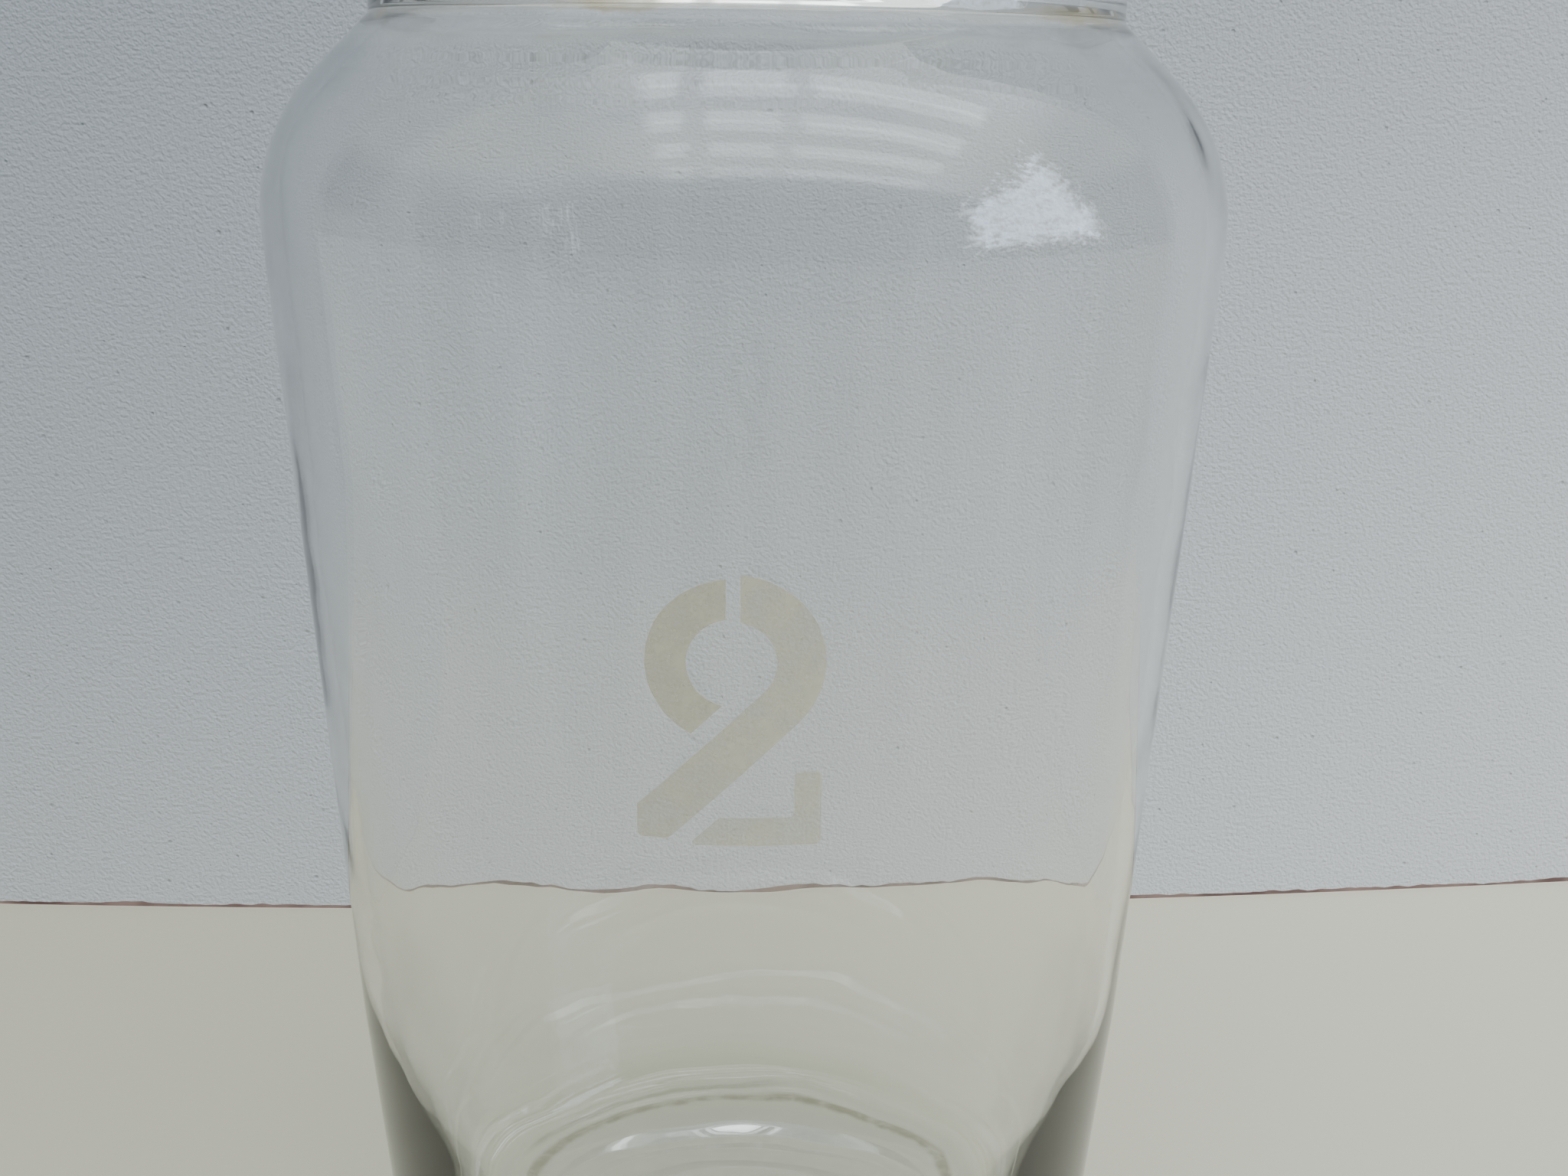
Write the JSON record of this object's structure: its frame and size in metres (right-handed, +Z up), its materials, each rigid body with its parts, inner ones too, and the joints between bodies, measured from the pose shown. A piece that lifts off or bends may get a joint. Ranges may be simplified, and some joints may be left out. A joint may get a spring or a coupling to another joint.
{
  "type": "stoppered glass jar",
  "caption": "Wide-neck round glass storage jar: tapering body, round shoulder, thick punted base, lift-out hollow ground-glass stopper with a knob, and a stencilled size numeral.",
  "frame": {"origin": "centre of the foot ring, on the plane that the jar stands on", "axes": "+Z up along the jar's axis, -Y is the front, where the numeral is"},
  "size_m": [0.1264, 0.1264, 0.272],
  "materials": {
    "jar_glass": "clear blown glass, faintly grey-green, slightly wavy, with dry water marks",
    "stopper_glass": "clear pressed glass, with a matt ground seat on the plug",
    "enamel": "thin fired enamel, matt and translucent, pale olive beige"
  },
  "bodies": {
    "jar": {"jar": "jar_glass", "numeral_hook": "enamel", "numeral_stroke": "enamel", "numeral_foot": "enamel"},
    "stopper": {"stopper": "stopper_glass"}
  },
  "joints": [
    {"name": "stopper_lift", "type": "slide", "parent": "jar", "child": "stopper", "axis": [0, 0, 1], "range_m": [0, 0.06]}
  ]
}
